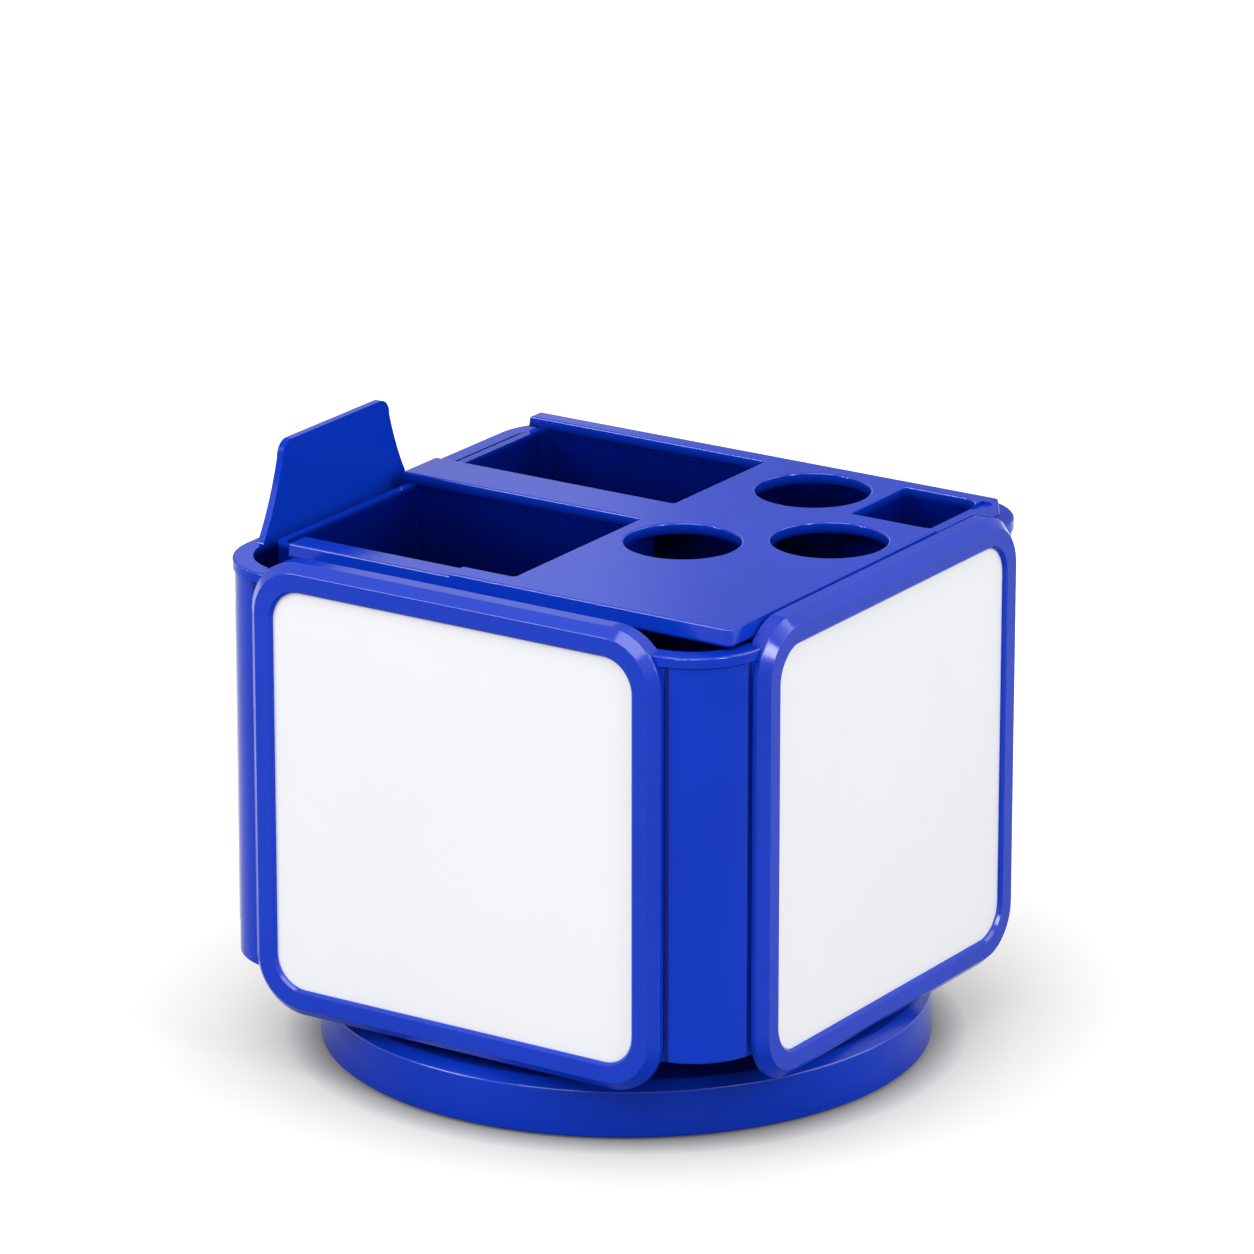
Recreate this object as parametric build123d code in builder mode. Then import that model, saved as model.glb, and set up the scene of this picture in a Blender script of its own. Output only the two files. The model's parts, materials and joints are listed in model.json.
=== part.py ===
from build123d import *
import os

# Rotating pen stand: a square tub with four framed sides, turning on a round base.
# Sizes in millimetres, z up, the desk at z = 0 and the swivel axis through the origin.

# Overall stack
stand_width = 101.6       # across the front faces of two opposite bezels
base_top = 9.6            # upper face of the base above the desk
body_lift = 8.1           # base top to the underside of the tub
body_height = 66.7        # tub, from underside to rim
deck_rise = 3.6           # deck face above the rim
overrun = 2.0             # extra reach of every cut
edge_break = 0.4          # small rounding on moulded edges

# Bezels and the sheets they hold
corner_column = 9.9       # side of a bezel to the face of the tub round the corner
frame_drop = 5.95         # bezel below the underside of the tub
frame_rise = 3.35         # front and right bezels above the rim
rear_frame_fall = 2.0     # back and left bezels below the rim
frame_corner = 9.2
bezel_width = 4.6         # bezel seen from the front
bezel_lip = 0.8           # plastic in front of the sheet
bezel_bevel = 1.5
bezel_round = 0.2         # rounding of the bevel's own edges
bezel_inner_bevel = 0.4
rim_hook = 1.8            # reach of the front and right bezels over the rim
insert_thickness = 1.6
insert_lap = 1.0          # sheet tucked behind the lip
insert_clearance = 0.15
opening_corner = 5.4
peg_radius = 1.3
peg_length = 1.8
peg_rise = 24.0           # pegs above and below the middle of the bezel
peg_clearance = 0.03

# Tub
body_corner = 12.2
body_wall = 2.6
body_floor = 2.4
post_inner_corner = 10.5  # inner corner, which leaves thicker corner posts
lip_height = 1.7
lip_overhang = 0.35       # also the rounding of the lip
lip_gap = 0.1             # lip to the side of a bezel
lip_groove = 0.2          # height and depth of the line under the lip
rest_inset = 1.4          # raised rest, set in from the outside of the tub
rest_front_gap = 12.6     # foot of the rest behind the tub's front face
rest_length = 41.0
rest_height = 15.6
rest_flank_run = 5.6
rest_shoulder = 2.8       # upright end of the rest, above its hollowed flank
rest_flank_sag = 0.5
rest_round = 2.6
rest_foot_round = 1.2

# Deck and bins
deck_plate = 1.8
deck_skirt_height = 2.9   # outer edge of the deck, plate and skirt together
deck_draft = 8            # slope of the outer edge in degrees
deck_side_inset = 2.4     # deck edge inside the right face of the tub
deck_front_inset = 7.1    # deck edge inside the front face
deck_back_inset = 8.8     # deck edge inside the back face
deck_left_gap = 2.8       # ends of the deck's arms to the left wall
deck_skirt = 1.0
deck_corner = 0.8
deck_edge = 0.3           # rounding along the deck, its mouths and its holes
deck_lower_edge = 0.5     # rounding under the outer edge
pen_area_width = 42.6     # right edge of the deck to the two large mouths
mouth_corner = 0.6
front_strip = 4.2
back_strip = 3.1
divider_mid = 4.0
divider_width = 9.6
front_strip_end = 6.3     # front arm stops short of the deck's left edge
strip_step_share = 0.25   # depth of the lowered rims, of the plate
front_step_end = 9.5      # lowered front arm to the right edge of its mouth
clip_width = 14.4
clip_depth = 17.2
clip_wall_gap = 0.2
clip_back_gap = 2.6       # clip mouth to the back edge of the deck
clip_corner = 3.4
pen_hole_radius = 9.4
pen_hole_near_gap = 2.6   # first hole to the large mouths
pen_hole_far_gap = 5.5    # third hole to the large mouths
pen_hole_right_gap = 2.0  # second hole to the right edge
pen_hole_clip_gap = 4.5   # second hole to the clip mouth
pen_hole_back_gap = 3.1   # third hole to the back edge
pen_hole_stagger = 13.2   # first hole in front of the second
bin_wall = 1.4
bin_setback = 0.6         # large bins' walls behind the edges of their mouths
bin_left_gap = 3.8        # left wall of the tub to the large bins
bin_corner = 3.0
bin_small_corner = 1.8

# Base and swivel
base_radius = 49.9
base_wall_height = 8.2    # plain wall, up to the bevel
base_bevel_run = 1.75
base_edge = 0.35          # rounding of the bevel's two edges
base_wall = 2.6
base_plate = 2.4
base_chamfer = 0.3
base_rib = 1.6
base_rib_count = 8
base_rib_setback = 1.2
foot_radius = 5.0
foot_height = 1.4
foot_proud = 0.4
foot_inset = 9.9          # middle of a pad inside the edge of the base
foot_boss_wall = 1.5
foot_clearance = 0.1
foot_count = 4
post_radius = 8.0
post_chamfer = 0.5
screw_boss = 5.0
running_fit = 0.06
bush_wall = 1.94
bush_flange_width = 2.0
bush_flange = 1.0
bush_length = 4.4
axial_play = 0.2
washer_thickness = 1.0
washer_margin = 0.6
screw_radius = 2.0
screw_hole_play = 0.2
screw_length = 12.0
screw_head_radius = 3.6
screw_head_height = 2.0
screw_slot = 1.0
screw_slot_depth = 1.1
thrust_inner = 21.0
thrust_outer = 27.0
thrust_thickness = 1.4
thrust_seat = 0.8
thrust_play = 0.1
thrust_clearance = 0.1
turntable_radius = 33.0
turntable_plate = 2.0
turntable_wall = 2.0
land_margin = 0.5
hub_wall = 1.6
fixing_radius = 1.4
fixing_head_radius = 2.8
fixing_length = 7.6
fixing_clearance = 0.1
fixing_count = 4

# Worked-out heights
body_bottom = base_top + body_lift
body_top = body_bottom + body_height
floor_top = body_bottom + body_floor
deck_top = body_top + deck_rise
deck_under = deck_top - deck_plate
deck_bottom = deck_top - deck_skirt_height
strip_step = strip_step_share * deck_plate
frame_bottom = body_bottom - frame_drop
front_frame_height = body_top + frame_rise - frame_bottom
rear_frame_height = body_top - rear_frame_fall - frame_bottom
turntable_bottom = base_top - thrust_seat + thrust_thickness + thrust_play
turntable_under = body_bottom - turntable_plate
bush_top = turntable_bottom + bush_length
hub_shelf = bush_top - bush_flange
post_top = bush_top + axial_play
washer_top = post_top + washer_thickness

# Worked-out plan sizes
body_half = stand_width / 2 - bezel_lip - insert_thickness
inner_half = body_half - body_wall
frame_width = 2 * (body_half - corner_column)
foot_circle = base_radius - foot_inset
bush_radius = post_radius + running_fit + bush_wall
bush_flange_radius = bush_radius + bush_flange_width
hub_recess = bush_flange_radius + washer_margin
land_inner = thrust_inner - land_margin
land_outer = thrust_outer + land_margin
fixing_circle = (land_inner + land_outer) / 2
opening_width = frame_width - 2 * bezel_width
insert_width = opening_width + 2 * insert_lap
insert_corner = opening_corner + insert_lap
rabbet_width = insert_width + 2 * insert_clearance
peg_reach = (frame_width + rabbet_width) / 4
deck_right = body_half - deck_side_inset
deck_left = deck_left_gap - inner_half
deck_front = deck_front_inset - body_half
deck_back = body_half - deck_back_inset
mouth_right = deck_right - pen_area_width
bin_left = bin_left_gap - inner_half
divider_front = divider_mid - divider_width / 2
divider_back = divider_mid + divider_width / 2
front_mouth = deck_front + front_strip
back_mouth = deck_back - back_strip
clip_right = inner_half - clip_wall_gap - bin_wall
clip_left = clip_right - clip_width
clip_back = deck_back - clip_back_gap
clip_front = clip_back - clip_depth
first_hole_x = mouth_right + pen_hole_near_gap + pen_hole_radius
second_hole_x = deck_right - pen_hole_right_gap - pen_hole_radius
second_hole_y = clip_front - pen_hole_clip_gap - pen_hole_radius
third_hole_x = mouth_right + pen_hole_far_gap + pen_hole_radius
third_hole_y = deck_back - pen_hole_back_gap - pen_hole_radius
pen_holes = [
    (first_hole_x, second_hole_y - pen_hole_stagger),
    (second_hole_x, second_hole_y),
    (third_hole_x, third_hole_y),
]
sides = {"front": 0, "right": 90, "back": 180, "left": 270}
hooked_sides = ("front", "right")
side_heights = {
    "front": front_frame_height,
    "right": front_frame_height,
    "back": rear_frame_height,
    "left": rear_frame_height,
}

os.makedirs("parts", exist_ok=True)


def save(builder, name):
    """Label a finished piece and write it as its own file."""
    builder.part.label = name
    export_step(builder.part, f"parts/{name}.step")


def side_plane(side):
    """Plane of one side of the tub, facing outwards, centred on its bezel."""
    outward = Vector(0, -1, 0).rotate(Axis.Z, sides[side])
    along = Vector(1, 0, 0).rotate(Axis.Z, sides[side])
    middle = frame_bottom + side_heights[side] / 2
    return Plane(origin=outward * body_half + Vector(0, 0, middle), x_dir=along, z_dir=outward)


def between(low_x, low_y, high_x, high_y, mode=Mode.ADD):
    """Rectangle given by two opposite corners."""
    with Locations(((low_x + high_x) / 2, (low_y + high_y) / 2)):
        return Rectangle(high_x - low_x, high_y - low_y, mode=mode)


# Base: one turned profile with a bevelled rim, ribbed and hollow underneath
inside = base_radius - base_wall
underside = base_top - base_plate
seat_low = base_top - thrust_seat
seat_inner = thrust_inner - thrust_clearance
seat_outer = thrust_outer + thrust_clearance
with BuildPart() as base_disc:
    with BuildSketch(Plane.XZ):
        with BuildLine():
            Polyline(
                (base_radius - base_bevel_run, base_top),
                (seat_outer, base_top),
                (seat_outer, seat_low),
                (seat_inner, seat_low),
                (seat_inner, base_top),
                (post_radius, base_top),
                (post_radius, post_top - post_chamfer),
                (post_radius - post_chamfer, post_top),
                (0, post_top),
                (0, foot_proud),
                (screw_boss, foot_proud),
                (screw_boss, underside),
                (inside, underside),
                (inside, foot_proud),
                (base_radius - base_chamfer, foot_proud),
                (base_radius, foot_proud + base_chamfer),
                (base_radius, base_wall_height),
                close=True,
            )
        profile = make_face()
        fillet(profile.vertices().sort_by_distance((base_radius, base_top))[:2], base_edge)
    revolve(axis=Axis.Z)
    with BuildSketch(Plane.XY.offset(foot_proud + base_rib_setback)):
        with PolarLocations((screw_boss + inside) / 2, base_rib_count):
            Rectangle(inside - screw_boss + base_wall, base_rib)
    extrude(until=Until.NEXT)
    with BuildSketch(Plane.XY.offset(foot_proud)):
        with PolarLocations(foot_circle, foot_count, start_angle=180 / foot_count):
            Circle(foot_radius + foot_boss_wall)
    extrude(until=Until.NEXT)
    with BuildSketch(Plane.XY.offset(foot_height)):
        with PolarLocations(foot_circle, foot_count, start_angle=180 / foot_count):
            Circle(foot_radius + foot_clearance)
    extrude(amount=-foot_height, mode=Mode.SUBTRACT)
    with Locations((0, 0, post_top)):
        Hole(screw_radius, screw_length)
save(base_disc, "base_disc")

# Rubber pads let into the base
with BuildPart() as base_feet:
    with BuildSketch():
        with PolarLocations(foot_circle, foot_count, start_angle=180 / foot_count):
            Circle(foot_radius)
    extrude(amount=foot_height)
    fillet(base_feet.faces().group_by(Axis.Z)[0].edges(), edge_break)
save(base_feet, "base_feet")

# Slip ring that carries the turntable
with BuildPart() as thrust_ring:
    with BuildSketch(Plane.XY.offset(seat_low)):
        Circle(thrust_outer)
        Circle(thrust_inner, mode=Mode.SUBTRACT)
    extrude(amount=thrust_thickness)
save(thrust_ring, "thrust_ring")

# Turntable: hub, bearing land and skirt hanging from one plate
with BuildPart() as turntable:
    with BuildSketch(Plane.XZ):
        with BuildLine():
            Polyline(
                (bush_radius, turntable_bottom),
                (hub_recess + hub_wall, turntable_bottom),
                (hub_recess + hub_wall, turntable_under),
                (land_inner, turntable_under),
                (land_inner, turntable_bottom),
                (land_outer, turntable_bottom),
                (land_outer, turntable_under),
                (turntable_radius - turntable_wall, turntable_under),
                (turntable_radius - turntable_wall, turntable_bottom),
                (turntable_radius, turntable_bottom),
                (turntable_radius, body_bottom),
                (hub_recess, body_bottom),
                (hub_recess, hub_shelf),
                (bush_radius, hub_shelf),
                close=True,
            )
        make_face()
    revolve(axis=Axis.Z)
    with Locations((0, 0, body_bottom)):
        with PolarLocations(fixing_circle, fixing_count, start_angle=180 / fixing_count):
            Hole(fixing_radius, fixing_length - body_floor)
save(turntable, "turntable")

# Flanged bush pressed into the hub, running on the base's post
with BuildPart() as pivot_bush:
    with BuildSketch(Plane.XZ):
        with BuildLine():
            Polyline(
                (post_radius + running_fit, turntable_bottom),
                (bush_radius, turntable_bottom),
                (bush_radius, hub_shelf),
                (bush_flange_radius, hub_shelf),
                (bush_flange_radius, bush_top),
                (post_radius + running_fit, bush_top),
                close=True,
            )
        make_face()
    revolve(axis=Axis.Z)
save(pivot_bush, "pivot_bush")

# Washer and screw that keep the turntable on the post
with BuildPart() as pivot_washer:
    with BuildSketch(Plane.XY.offset(post_top)):
        Circle(bush_flange_radius)
        Circle(screw_radius + screw_hole_play, mode=Mode.SUBTRACT)
    extrude(amount=washer_thickness)
save(pivot_washer, "pivot_washer")

with BuildPart() as pivot_screw:
    with BuildSketch(Plane.XY.offset(washer_top)):
        Circle(screw_head_radius)
    extrude(amount=screw_head_height)
    fillet(pivot_screw.edges().group_by(Axis.Z)[-1], screw_head_height / 2)
    with BuildSketch(Plane.XY.offset(washer_top + screw_head_height)):
        Rectangle(2 * (screw_head_radius - screw_slot), screw_slot)
        Rectangle(screw_slot, 2 * (screw_head_radius - screw_slot))
    extrude(amount=-screw_slot_depth, mode=Mode.SUBTRACT)
    with BuildSketch(Plane.XY.offset(washer_top)):
        Circle(screw_radius)
    extrude(amount=washer_thickness - screw_length)
    chamfer(pivot_screw.edges().group_by(Axis.Z)[0], screw_radius / 2)
save(pivot_screw, "pivot_screw")

# Tub: rounded square, thick corner posts, floor with the swivel's well
lip_half = body_half + lip_overhang
with BuildPart() as rim_lip:
    with BuildSketch(Plane.XY.offset(body_top - lip_height)):
        RectangleRounded(2 * lip_half, 2 * lip_half, body_corner + lip_overhang)
        RectangleRounded(2 * inner_half, 2 * inner_half, post_inner_corner, mode=Mode.SUBTRACT)
    extrude(amount=lip_height)
    fillet(rim_lip.faces().sort_by(Axis.Z)[-1].outer_wire().edges(), lip_overhang)
    for side in hooked_sides:
        with BuildSketch(side_plane(side)):
            RectangleRounded(
                frame_width + 2 * lip_gap,
                side_heights[side] + 2 * lip_gap,
                frame_corner + lip_gap,
            )
        extrude(amount=body_wall + overrun, both=True, mode=Mode.SUBTRACT)

# Raised rest: the left wall carried up between two hollowed flanks
rest_front = rest_front_gap - body_half
rest_back = rest_front + rest_length
rest_top = body_top + rest_height
flank_top = rest_top - rest_shoulder
with BuildPart() as raised_rest:
    with BuildSketch(Plane.XY.offset(body_top - lip_height)):
        rest_side = 2 * (body_half - rest_inset)
        RectangleRounded(rest_side, rest_side, body_corner - rest_inset)
        RectangleRounded(2 * inner_half, 2 * inner_half, body_corner - body_wall, mode=Mode.SUBTRACT)
    extrude(amount=rest_height + lip_height)
    with BuildSketch(Plane.YZ.offset(-body_half - overrun)):
        with BuildLine():
            Polyline(
                (rest_front, body_top),
                (rest_front - rest_foot_round, body_top),
                (rest_front - rest_foot_round, body_top - lip_height),
                (rest_back + rest_foot_round, body_top - lip_height),
                (rest_back + rest_foot_round, body_top),
                (rest_back, body_top),
            )
            SagittaArc(
                (rest_front, body_top),
                (rest_front + rest_flank_run, flank_top),
                -rest_flank_sag,
            )
            SagittaArc(
                (rest_back, body_top),
                (rest_back - rest_flank_run, flank_top),
                rest_flank_sag,
            )
            Polyline(
                (rest_front + rest_flank_run, flank_top),
                (rest_front + rest_flank_run, rest_top),
                (rest_back - rest_flank_run, rest_top),
                (rest_back - rest_flank_run, flank_top),
            )
        rest_face = make_face()
        corners = rest_face.vertices().group_by(Axis.Y)
        fillet(corners[-1], rest_round)
        fillet(corners[1].sort_by(Axis.X)[1:-1], rest_foot_round / 2)
    extrude(amount=body_half, mode=Mode.INTERSECT)

with BuildPart() as body_shell:
    with BuildSketch(Plane.XY.offset(body_bottom)):
        RectangleRounded(2 * body_half, 2 * body_half, body_corner)
    extrude(amount=body_height)
    fillet(body_shell.edges().group_by(Axis.Z)[0], edge_break)
    with BuildSketch(Plane.XY.offset(body_top - lip_height - lip_groove)):
        RectangleRounded(2 * body_half + overrun, 2 * body_half + overrun, body_corner)
        groove_side = 2 * (body_half - lip_groove)
        RectangleRounded(groove_side, groove_side, body_corner - lip_groove, mode=Mode.SUBTRACT)
    extrude(amount=lip_groove, mode=Mode.SUBTRACT)
    add(rim_lip.part)
    add(raised_rest.part)
    with BuildSketch(Plane.XY.offset(floor_top)):
        RectangleRounded(2 * inner_half, 2 * inner_half, post_inner_corner)
    extrude(amount=body_height, mode=Mode.SUBTRACT)
    with Locations((0, 0, floor_top)):
        Hole(hub_recess, body_floor + overrun)
        with PolarLocations(fixing_circle, fixing_count, start_angle=180 / fixing_count):
            CounterSinkHole(
                fixing_radius + fixing_clearance,
                fixing_head_radius + fixing_clearance,
                body_floor + overrun,
            )
    for side in sides:
        with Locations(side_plane(side)):
            with GridLocations(2 * peg_reach, 2 * peg_rise, 2, 2):
                Hole(peg_radius + peg_clearance, peg_length + peg_clearance)
save(body_shell, "body_shell")

# Countersunk screws from the tub's floor into the turntable
fixing_cone = fixing_head_radius - fixing_radius
hung = (Align.CENTER, Align.CENTER, Align.MAX)
with BuildPart() as turntable_screws:
    with Locations((0, 0, floor_top)):
        with PolarLocations(fixing_circle, fixing_count, start_angle=180 / fixing_count):
            Cone(fixing_radius, fixing_head_radius, fixing_cone, align=hung)
            Cylinder(fixing_radius, fixing_length, align=hung)
save(turntable_screws, "turntable_screws")


def make_bin(low_x, low_y, high_x, high_y, top, far_corner):
    """Open pocket standing on the tub's floor, given by its inside and its rim."""
    with BuildPart() as pocket:
        with BuildSketch(Plane.XY.offset(floor_top)) as outline:
            between(low_x - bin_wall, low_y - bin_wall, high_x + bin_wall, high_y + bin_wall)
            far = outline.vertices().sort_by_distance((0, 0))[-1]
            fillet(outline.vertices() - [far], bin_small_corner)
            fillet(outline.vertices().sort_by_distance((0, 0))[-1], far_corner)
        extrude(amount=top - floor_top)
        offset(amount=-bin_wall, openings=pocket.faces().sort_by(Axis.Z)[-1])
    return pocket


bin_inside_left = bin_left + bin_wall
bin_inside_right = mouth_right + bin_setback
front_bin = make_bin(
    bin_inside_left,
    front_mouth - bin_setback,
    bin_inside_right,
    divider_front + bin_setback,
    deck_under,
    bin_corner,
)
save(front_bin, "front_bin")
back_bin = make_bin(
    bin_inside_left,
    divider_back - bin_setback,
    bin_inside_right,
    back_mouth + bin_setback,
    deck_under,
    bin_corner,
)
save(back_bin, "back_bin")
clip_bin = make_bin(clip_left, clip_front, clip_right, clip_back, deck_bottom, clip_corner + bin_wall)
save(clip_bin, "clip_bin")

# Deck: drafted plate with arms between the bins, three pen holes, three mouths and a low skirt
with BuildPart() as deck_cover:
    with BuildSketch(Plane.XY.offset(deck_top)) as deck_outline:
        between(deck_left, deck_front, deck_right, deck_back)
        fillet(deck_outline.vertices().group_by(Axis.X)[-1], deck_corner)
    extrude(amount=-deck_skirt_height, taper=-deck_draft)
    fillet(deck_cover.edges().group_by(Axis.Z)[0], deck_lower_edge)
    with BuildSketch(Plane.XY.offset(deck_bottom - overrun)):
        between(
            deck_left - overrun,
            deck_front + deck_skirt,
            deck_right - deck_skirt,
            deck_back - deck_skirt,
        )
        between(
            clip_left - bin_wall,
            clip_front - bin_wall,
            deck_right,
            deck_back,
            mode=Mode.SUBTRACT,
        )
    extrude(amount=deck_under - deck_bottom + overrun, mode=Mode.SUBTRACT)
    with BuildSketch(Plane.XY.offset(deck_top)) as mouths:
        between(deck_left - overrun, front_mouth, mouth_right, divider_front)
        between(deck_left - overrun, divider_back, mouth_right, back_mouth)
        between(clip_left, clip_front, clip_right, clip_back)
        corners = mouths.vertices().filter_by_position(Axis.X, deck_left, deck_right)
        clip_far_corner = corners.sort_by_distance((deck_right, deck_back))[0]
        fillet(corners - [clip_far_corner], mouth_corner)
        fillet(mouths.vertices().sort_by_distance((deck_right, deck_back))[0], clip_corner)
        arm_end = deck_left + front_strip_end
        between(deck_left - overrun, deck_front - overrun, arm_end, front_mouth + overrun)
        with Locations(*pen_holes):
            Circle(pen_hole_radius)
    extrude(amount=-deck_rise, mode=Mode.SUBTRACT)
    fillet(deck_cover.edges().group_by(Axis.Z)[-1], deck_edge)
    with BuildSketch(Plane.XY.offset(deck_top)):
        between(deck_left, deck_front - overrun, mouth_right - front_step_end, front_mouth)
        between(clip_right, clip_front, deck_right + overrun, clip_back)
    extrude(amount=-strip_step, mode=Mode.SUBTRACT)
    strip_top = deck_top - strip_step
    strip_edges = deck_cover.edges().filter_by_position(Axis.Z, strip_top, strip_top)
    fillet(strip_edges.group_by(Axis.Y)[0], deck_edge)
save(deck_cover, "deck_cover")

# Four bezels with pegs, and the white sheets that they hold against the tub
for side, frame_height in side_heights.items():
    back_plane = side_plane(side)
    outwards = Axis(Vector(), back_plane.z_dir)
    opening_height = frame_height - 2 * bezel_width
    insert_height = opening_height + 2 * insert_lap
    rabbet_height = insert_height + 2 * insert_clearance
    rim_level = body_top - frame_bottom - frame_height / 2
    with BuildPart() as frame:
        with BuildSketch(back_plane):
            RectangleRounded(frame_width, frame_height, frame_corner)
        extrude(amount=insert_thickness + bezel_lip)
        chamfer(frame.faces().sort_by(outwards)[-1].edges(), bezel_bevel)
        edge_loops = frame.edges().group_by(outwards)
        fillet(edge_loops[-1] + edge_loops[-3], bezel_round)
        with BuildSketch(back_plane):
            RectangleRounded(opening_width, opening_height, opening_corner)
        extrude(amount=insert_thickness + bezel_lip, mode=Mode.SUBTRACT)
        with BuildSketch(back_plane):
            RectangleRounded(rabbet_width, rabbet_height, insert_corner)
        extrude(amount=insert_thickness, mode=Mode.SUBTRACT)
        chamfer(frame.faces().sort_by(outwards)[-1].inner_wires().edges(), bezel_inner_bevel)
        if side in hooked_sides:
            with BuildSketch(back_plane):
                RectangleRounded(frame_width, frame_height, frame_corner)
                between(-frame_width, -frame_height, frame_width, rim_level, mode=Mode.SUBTRACT)
            extrude(amount=-rim_hook)
            fillet(frame.edges().group_by(outwards)[0].sort_by(Axis.Z)[1:], bezel_round)
        with BuildSketch(back_plane):
            with GridLocations(2 * peg_reach, 2 * peg_rise, 2, 2):
                Circle(peg_radius)
        extrude(amount=-peg_length)
    save(frame, f"frame_{side}")

    with BuildPart() as insert:
        with BuildSketch(back_plane):
            RectangleRounded(insert_width, insert_height, insert_corner)
        extrude(amount=insert_thickness)
    save(insert, f"insert_{side}")
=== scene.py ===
import json
import math
import bpy
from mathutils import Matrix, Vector

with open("model.json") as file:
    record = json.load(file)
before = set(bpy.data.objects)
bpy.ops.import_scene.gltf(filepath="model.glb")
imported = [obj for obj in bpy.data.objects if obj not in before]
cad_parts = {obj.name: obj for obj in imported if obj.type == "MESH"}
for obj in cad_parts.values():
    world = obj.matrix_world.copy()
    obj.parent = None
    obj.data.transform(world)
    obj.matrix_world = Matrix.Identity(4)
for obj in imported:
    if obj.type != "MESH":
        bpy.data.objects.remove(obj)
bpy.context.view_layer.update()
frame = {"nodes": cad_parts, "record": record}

print("frame loaded:", len(frame["nodes"]), "nodes")


# Node helpers

def newFinish(name):
    finish = bpy.data.materials.new(name)
    finish.use_nodes = True
    tree = finish.node_tree
    return finish, tree, tree.nodes["Principled BSDF"]


def addNode(tree, kind, **sockets):
    node = tree.nodes.new(kind)
    for socket, value in sockets.items():
        node.inputs[socket].default_value = value
    return node


def feed(tree, value, shader, socket):
    tree.links.new(value, shader.inputs[socket])


def objectNoise(tree, scale, detail, roughness=0.5, stretch=(1, 1, 1)):
    coords = tree.nodes.new("ShaderNodeTexCoord")
    mapping = addNode(tree, "ShaderNodeMapping", Scale=stretch)
    noise = addNode(tree, "ShaderNodeTexNoise", Scale=scale, Detail=detail, Roughness=roughness)
    tree.links.new(coords.outputs["Object"], mapping.inputs["Vector"])
    tree.links.new(mapping.outputs["Vector"], noise.inputs["Vector"])
    return noise.outputs["Fac"]


def spread(tree, value, low, high, fromLow=0.3, fromHigh=0.7):    # from a noise's usual range
    ranged = tree.nodes.new("ShaderNodeMapRange")
    ranged.inputs["From Min"].default_value = fromLow
    ranged.inputs["From Max"].default_value = fromHigh
    ranged.inputs["To Min"].default_value = low
    ranged.inputs["To Max"].default_value = high
    tree.links.new(value, ranged.inputs["Value"])
    return ranged.outputs["Result"]


def mixColours(tree, factor, first, second):
    mix = tree.nodes.new("ShaderNodeMix")
    mix.data_type = "RGBA"
    tree.links.new(factor, mix.inputs["Factor"])
    for socket, colour in ((mix.inputs[6], first), (mix.inputs[7], second)):    # A and B of a colour mix
        if isinstance(colour, tuple):
            socket.default_value = (*colour, 1)
        else:
            tree.links.new(colour, socket)
    return mix.outputs[2]    # its Result


def compute(tree, operation, *terms):
    node = tree.nodes.new("ShaderNodeMath")
    node.operation = operation
    for socket, term in zip(node.inputs, terms):
        if isinstance(term, (int, float)):
            socket.default_value = term
        else:
            tree.links.new(term, socket)
    return node.outputs["Value"]


def addBump(tree, shader, height, strength, distance, under=None):
    bump = addNode(tree, "ShaderNodeBump", Strength=strength, Distance=distance)
    tree.links.new(height, bump.inputs["Height"])
    if under is not None:
        tree.links.new(under, bump.inputs["Normal"])
    feed(tree, bump.outputs["Normal"], shader, "Normal")
    return bump.outputs["Normal"]


def objectAxes(tree, source="Object"):
    coords = tree.nodes.new("ShaderNodeTexCoord")
    axes = tree.nodes.new("ShaderNodeSeparateXYZ")
    tree.links.new(coords.outputs[source], axes.inputs["Vector"])
    return [axes.outputs[axis] for axis in "XYZ"]


# Blue moulded plastic

moulded = {
    "deepBlue": (0.0025, 0.0345, 0.485), "brightBlue": (0.0035, 0.041, 0.545),
    # upperPaintedShade and lowerPaintedShade are painted shade: dark blues that stand in for the shade
    # inside openings and bins
    "upperPaintedShade": (0.0004, 0.0075, 0.18), "lowerPaintedShade": (0.0002, 0.0017, 0.048),
    "flow": {"scale": 32, "detail": 3}, "rough": (0.11, 0.16),
    "speck": {"scale": 1400, "detail": 2}, "speckShare": 0.12,
    "wavy": {"scale": 70, "detail": 1}, "wavyBump": {"strength": 0.4, "distance": 0.00006},
    "grain": {"scale": 4200, "detail": 2}, "grainBump": {"strength": 0.35, "distance": 0.00002},
}

# Specular level of each moulding's plain faces, and of polished edges and undersides on all of them
polish = {
    "side": 0.13, "deck": 0.12, "tub": 0.065, "base": 0.08, "bin": 0.06,
    "edge": 0.9, "under": 0.03,
}

# The upward part of the normal at which a face turns from underside to side, to edge, to level top
edgeSlope = {"under": -0.3, "side": -0.02, "start": 0.08, "full": 0.35, "fade": 0.9, "end": 0.985}
edgeTop = {"tub": 0.0845}    # height above which the edges stay as plain as the sides

# Where painted shade darkens a moulding inside, and the base towards the bottom: middle and
# half width in plan, reach of |x| + |y|, the height where it starts and the depth over which it comes in
paintedShadeZones = {
    "deck": {"middle": (0, -0.0008), "half": (0.0455, 0.0401), "reach": 0.2, "top": 0.0877, "depth": 0.0015},
    "tub": {"middle": (0, 0), "half": (0.0459, 0.0459), "reach": 0.0892, "top": 0.0843, "depth": 0.0012},
    "base": {"middle": (0, 0), "half": (0.06, 0.06), "reach": 0.2, "top": 0.012, "depth": 0.07},
    "bin": {"middle": (0, 0), "half": (0.05, 0.05), "reach": 0.2, "top": 0.0866, "depth": 0.0012},
}
paintedShadeFall = {"top": 0.086, "bottom": 0.068}    # heights between which the upper painted shade turns to the darker lower painted shade

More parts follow.
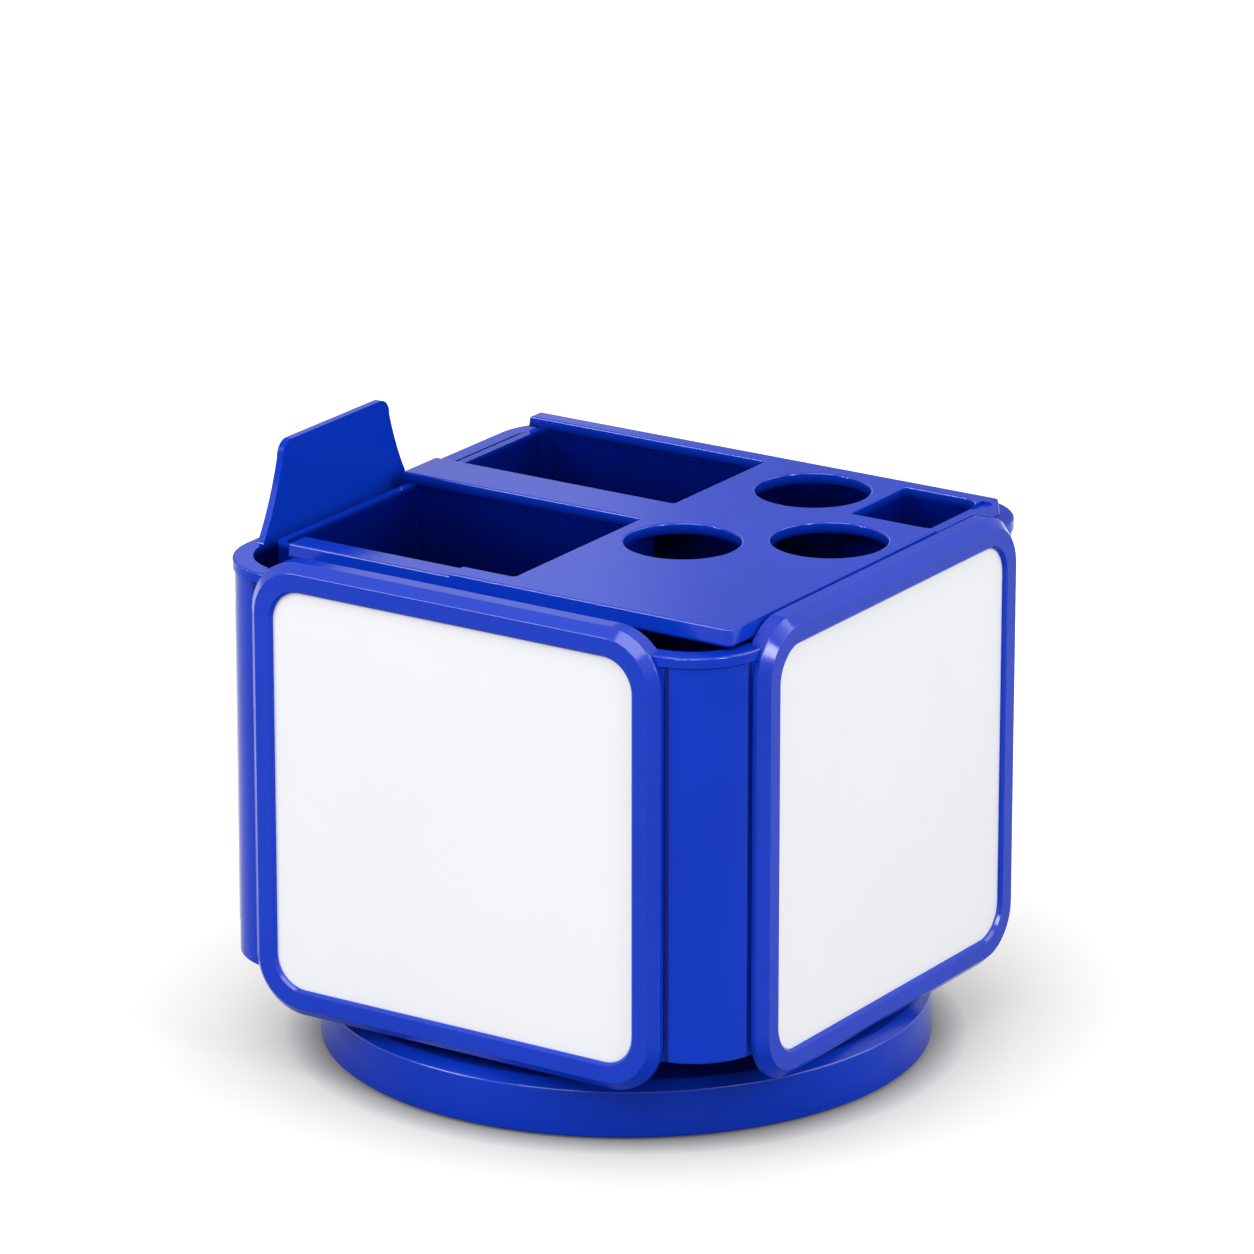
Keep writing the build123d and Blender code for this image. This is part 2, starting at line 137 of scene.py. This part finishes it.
# Painted shade: the dark line beside each frame, on the tub's corner columns, where the gap behind the frame
# lies in shade
frameGapShade = {"share": 0.7, "place": 0.0388, "half": 0.0004, "outside": 0.047, "top": 0.0828}


# Share of painted shade on a moulding, and the painted shade colour, darker lower down
def paintedShadeShare(tree, recess):
    x, y, z = objectAxes(tree)
    share = spread(tree, z, 1, 0, recess["top"] - recess["depth"], recess["top"])
    for place, middle, half in zip((x, y), recess["middle"], recess["half"]):
        share = compute(tree, "MULTIPLY", share, compute(tree, "COMPARE", place, middle, half))
    diagonal = compute(tree, "ADD", compute(tree, "ABSOLUTE", x), compute(tree, "ABSOLUTE", y))
    share = compute(tree, "MULTIPLY", share, compute(tree, "LESS_THAN", diagonal, recess["reach"]))
    fall = spread(tree, z, 1, 0, paintedShadeFall["bottom"], paintedShadeFall["top"])
    return share, mixColours(tree, fall, moulded["upperPaintedShade"], moulded["lowerPaintedShade"])


# Share of painted shade along the gap beside each frame
def frameGapShadeShare(tree):
    x, y, z = objectAxes(tree)
    across, along = compute(tree, "ABSOLUTE", x), compute(tree, "ABSOLUTE", y)
    lines = []
    for near, far in ((across, along), (along, across)):
        line = compute(tree, "COMPARE", near, frameGapShade["place"], frameGapShade["half"])
        lines.append(compute(tree, "MULTIPLY", line, compute(tree, "GREATER_THAN", far, frameGapShade["outside"])))
    share = compute(tree, "MULTIPLY", compute(tree, "ADD", *lines), frameGapShade["share"])
    return compute(tree, "MULTIPLY", share, compute(tree, "LESS_THAN", z, frameGapShade["top"]))


def edgeShare(tree, moulding):
    plain, slope = polish[moulding], objectAxes(tree, "Normal")[2]
    side = spread(tree, slope, polish["under"], plain, edgeSlope["under"], edgeSlope["side"])
    edge = spread(tree, slope, 0, polish["edge"], edgeSlope["start"], edgeSlope["full"])
    fade = spread(tree, slope, polish["edge"], plain, edgeSlope["fade"], edgeSlope["end"])
    if moulding in edgeTop:
        below = compute(tree, "LESS_THAN", objectAxes(tree)[2], edgeTop[moulding])
        edge = compute(tree, "MULTIPLY", edge, below)
    return compute(tree, "MINIMUM", compute(tree, "MAXIMUM", side, edge), fade)


def bluePlastic(name, moulding):
    finish, tree, shader = newFinish(name)
    flow = objectNoise(tree, **moulded["flow"])
    speck = objectNoise(tree, **moulded["speck"])
    tone = mixColours(tree, spread(tree, flow, 0, 1), moulded["deepBlue"], moulded["brightBlue"])
    tone = mixColours(tree, spread(tree, speck, 0, moulded["speckShare"]), tone, moulded["brightBlue"])
    # Painted shade inside openings and bins, and on the lower part of the base
    if moulding in paintedShadeZones:
        share, paintedShade = paintedShadeShare(tree, paintedShadeZones[moulding])
        tone = mixColours(tree, share, tone, paintedShade)
    # Painted shade in the gap beside each frame
    if moulding == "tub":
        tone = mixColours(tree, frameGapShadeShare(tree), tone, moulded["lowerPaintedShade"])
    feed(tree, tone, shader, "Base Color")
    feed(tree, spread(tree, flow, *moulded["rough"]), shader, "Roughness")
    feed(tree, edgeShare(tree, moulding), shader, "Specular IOR Level")
    wavy = addBump(tree, shader, objectNoise(tree, **moulded["wavy"]), **moulded["wavyBump"])
    addBump(tree, shader, objectNoise(tree, **moulded["grain"]), **moulded["grainBump"], under=wavy)
    return finish


# White sheets

coatedSheet = {
    "cool": (0.86, 0.868, 0.895), "warm": (0.885, 0.89, 0.91),
    "cloud": {"scale": 22, "detail": 3}, "fibreShare": 0.25,
    "fibre": {"scale": 1600, "detail": 3, "roughness": 0.6, "stretch": (1, 1, 0.35)},
    "rough": (0.38, 0.5), "gloss": 0.35, "fibreBump": {"strength": 0.3, "distance": 0.00001},
}


def whiteSheet():
    finish, tree, shader = newFinish("whiteSheet")
    cloud = objectNoise(tree, **coatedSheet["cloud"])
    fibre = objectNoise(tree, **coatedSheet["fibre"])
    tone = mixColours(tree, spread(tree, cloud, 0, 1), coatedSheet["cool"], coatedSheet["warm"])
    tone = mixColours(tree, spread(tree, fibre, 0, coatedSheet["fibreShare"]), tone, coatedSheet["warm"])
    feed(tree, tone, shader, "Base Color")
    feed(tree, spread(tree, fibre, *coatedSheet["rough"]), shader, "Roughness")
    shader.inputs["Specular IOR Level"].default_value = coatedSheet["gloss"]
    addBump(tree, shader, fibre, **coatedSheet["fibreBump"])
    return finish


# Feet

rubberPad = {
    "dark": (0.018, 0.018, 0.019), "dusty": (0.042, 0.041, 0.04),
    "dust": {"scale": 260, "detail": 5}, "rough": (0.7, 0.9),
    "grain": {"scale": 2600, "detail": 2}, "grainBump": {"strength": 0.5, "distance": 0.00005},
}


def footRubber():
    finish, tree, shader = newFinish("footRubber")
    dust = objectNoise(tree, **rubberPad["dust"])
    tone = mixColours(tree, spread(tree, dust, 0, 1), rubberPad["dark"], rubberPad["dusty"])
    feed(tree, tone, shader, "Base Color")
    feed(tree, spread(tree, dust, *rubberPad["rough"]), shader, "Roughness")
    addBump(tree, shader, objectNoise(tree, **rubberPad["grain"]), **rubberPad["grainBump"])
    return finish


# Screws and washer

zincPlate = {
    "bright": (0.66, 0.65, 0.62), "dull": (0.5, 0.49, 0.46),
    "cloud": {"scale": 420, "detail": 4}, "rough": (0.24, 0.42),
    "turned": {"scale": 900, "detail": 2, "stretch": (1, 1, 14)},
    "turnedBump": {"strength": 0.4, "distance": 0.000012},
}


def platedSteel():
    finish, tree, shader = newFinish("platedSteel")
    cloud = objectNoise(tree, **zincPlate["cloud"])
    turned = objectNoise(tree, **zincPlate["turned"])
    tone = mixColours(tree, spread(tree, cloud, 0, 1), zincPlate["dull"], zincPlate["bright"])
    feed(tree, tone, shader, "Base Color")
    feed(tree, spread(tree, turned, *zincPlate["rough"]), shader, "Roughness")
    shader.inputs["Metallic"].default_value = 1
    addBump(tree, shader, turned, **zincPlate["turnedBump"])
    return finish


# Bush and slip ring

slipPlastic = {
    "milk": (0.82, 0.80, 0.74), "cream": (0.74, 0.72, 0.65),
    "cloud": {"scale": 160, "detail": 3}, "rough": (0.34, 0.48),
    "grain": {"scale": 3000, "detail": 2}, "grainBump": {"strength": 0.3, "distance": 0.00002},
}


def naturalAcetal():
    finish, tree, shader = newFinish("naturalAcetal")
    cloud = objectNoise(tree, **slipPlastic["cloud"])
    tone = mixColours(tree, spread(tree, cloud, 0, 1), slipPlastic["cream"], slipPlastic["milk"])
    feed(tree, tone, shader, "Base Color")
    feed(tree, spread(tree, cloud, *slipPlastic["rough"]), shader, "Roughness")
    addBump(tree, shader, objectNoise(tree, **slipPlastic["grain"]), **slipPlastic["grainBump"])
    return finish


finishes = {
    "blue_plastic": bluePlastic("bluePlastic", "side"),
    "base_plastic": bluePlastic("basePlastic", "base"),
    "deck_plastic": bluePlastic("deckPlastic", "deck"),
    "tub_plastic": bluePlastic("tubPlastic", "tub"),
    "bin_plastic": bluePlastic("binPlastic", "bin"),
    "white_sheet": whiteSheet(),
    "foot_rubber": footRubber(),
    "plated_steel": platedSteel(),
    "natural_acetal": naturalAcetal(),
}
slotOf = {part["node"]: part["material_slot"] for part in frame["record"]["subparts"]}
# The bins take a finish that is painted shade below their rims
slotOf.update({name: "bin_plastic" for name in ("front_bin", "back_bin", "clip_bin")})
slotOf.update({"deck_cover": "deck_plastic", "body_shell": "tub_plastic", "base_disc": "base_plastic"})
for name, node in frame["nodes"].items():
    for slot in node.material_slots:
        slot.material = finishes[slotOf[name]]
print("finishes set on", len(slotOf), "nodes")


# Floor, lights and camera

# The floor as it lights the object and as it is seen, its glow from near to far, held low near the base as a
# painted shadow, and the painted contact shadow, a dark ring where the base meets it; distances are from the
# middle, in metres
studio = {
    "floorSize": 12.0, "floorRough": 0.9,
    "floorTone": (0.45, 0.45, 0.45), "floorSeen": (0.445, 0.44, 0.415),
    "nearGlow": 0.125, "farGlow": 0.95, "glowStart": 0.049, "glowEnd": 0.17, "glowCurve": 0.45,
    "contactTone": 0.5, "contactStart": 0.0495, "contactEnd": 0.056,
    "skyLevel": 0.5,
}


def layFloor():
    bpy.ops.object.select_all(action="DESELECT")
    bpy.ops.mesh.primitive_plane_add(size=studio["floorSize"], location=(0, 0, 0))
    floor = bpy.context.object
    floor.name = "floor"
    paper, tree, shader = newFinish("floorPaper")
    shader.inputs["Roughness"].default_value = studio["floorRough"]
    shader.inputs["Specular IOR Level"].default_value = 0
    path = tree.nodes.new("ShaderNodeLightPath")
    shown = path.outputs["Is Camera Ray"]
    for ray in ("Is Glossy Ray", "Is Transmission Ray"):
        shown = compute(tree, "MAXIMUM", shown, path.outputs[ray])
    coords = tree.nodes.new("ShaderNodeTexCoord")
    length = tree.nodes.new("ShaderNodeVectorMath")
    length.operation = "LENGTH"
    tree.links.new(coords.outputs["Object"], length.inputs[0])
    away = length.outputs["Value"]
    # Painted contact shadow: a dark ring on the floor around the base
    paintedContactShadow = spread(tree, away, studio["contactTone"], 1, studio["contactStart"], studio["contactEnd"])
    seen = mixColours(tree, paintedContactShadow, (0, 0, 0), studio["floorSeen"])
    feed(tree, mixColours(tree, shown, studio["floorTone"], seen), shader, "Base Color")
    # The glow is low near the base and rises outward, a painted shadow around the stand
    outward = spread(tree, away, 0, 1, studio["glowStart"], studio["glowEnd"])
    outward = compute(tree, "POWER", outward, studio["glowCurve"])
    glow = spread(tree, outward, studio["nearGlow"], studio["farGlow"], 0, 1)
    glow = compute(tree, "MULTIPLY", glow, paintedContactShadow)
    shader.inputs["Emission Color"].default_value = (1, 1, 1, 1)
    feed(tree, compute(tree, "MULTIPLY", glow, shown), shader, "Emission Strength")
    floor.data.materials.append(paper)


def openSky():
    world = bpy.data.worlds.new("studioSky")
    bpy.context.scene.world = world
    world.use_nodes = True
    sky = world.node_tree.nodes["Background"]
    sky.inputs["Color"].default_value = (1, 1, 1, 1)
    sky.inputs["Strength"].default_value = studio["skyLevel"]


softboxes = {
    "keyBox": {"place": (-0.86, -1.03, 0.78), "width": 0.6, "height": 0.6, "power": 7.5},
    "frontBox": {"place": (0.223, -0.896, 1.232), "width": 1.1, "height": 1.2, "power": 10.6},
    "rightBox": {"place": (1.27, -0.36, 0.78), "width": 0.3, "height": 0.9, "power": 6.0},
    "rearBox": {"place": (1.16, 0.73, 0.73), "width": 1.0, "height": 1.0, "power": 5.7},
    "backCard": {"place": (-0.925, 1.064, 0.513), "width": 0.4, "height": 0.6, "power": 0.45},
}
lampAim = (0, 0, 0.05)    # the middle of the stand


def hangLights():
    for name, box in softboxes.items():
        lamp = bpy.data.lights.new(name, "AREA")
        lamp.shape = "RECTANGLE"
        lamp.size = box["width"]
        lamp.size_y = box["height"]
        lamp.energy = box["power"]
        light = bpy.data.objects.new(name, lamp)
        light.location = box["place"]
        light.rotation_euler = (Vector(lampAim) - light.location).to_track_quat("-Z", "Y").to_euler()
        bpy.context.collection.objects.link(light)


# The photograph's view: angles in degrees, lengths in metres, the focal length in pixels of its frame
view = {
    "turn": 33.188, "rise": 18.235, "distance": 1.28706,
    "aimSide": 0.000113, "aimHeight": 0.06885,
    "focalPixels": 8000, "framePixels": 1254, "sensorWidth": 36,
    "clipStart": 0.05, "clipEnd": 50,
}


def setCamera():
    turn = math.radians(view["turn"])
    rise = math.radians(view["rise"])
    right = Vector((math.cos(turn), math.sin(turn), 0))
    back = Vector((math.sin(turn) * math.cos(rise), -math.cos(turn) * math.cos(rise), math.sin(rise)))
    lens = bpy.data.cameras.new("photoCamera")
    lens.sensor_fit = "HORIZONTAL"
    lens.sensor_width = view["sensorWidth"]
    lens.lens = view["focalPixels"] / view["framePixels"] * view["sensorWidth"]
    lens.clip_start = view["clipStart"]
    lens.clip_end = view["clipEnd"]
    camera = bpy.data.objects.new("photoCamera", lens)
    camera.location = right * view["aimSide"] + Vector((0, 0, view["aimHeight"])) + back * view["distance"]
    camera.rotation_euler = (-back).to_track_quat("-Z", "Y").to_euler()
    bpy.context.collection.objects.link(camera)
    bpy.context.scene.camera = camera


layFloor()
openSky()
hangLights()
setCamera()
bpy.context.scene.view_settings.view_transform = "Standard"
print("studio ready")
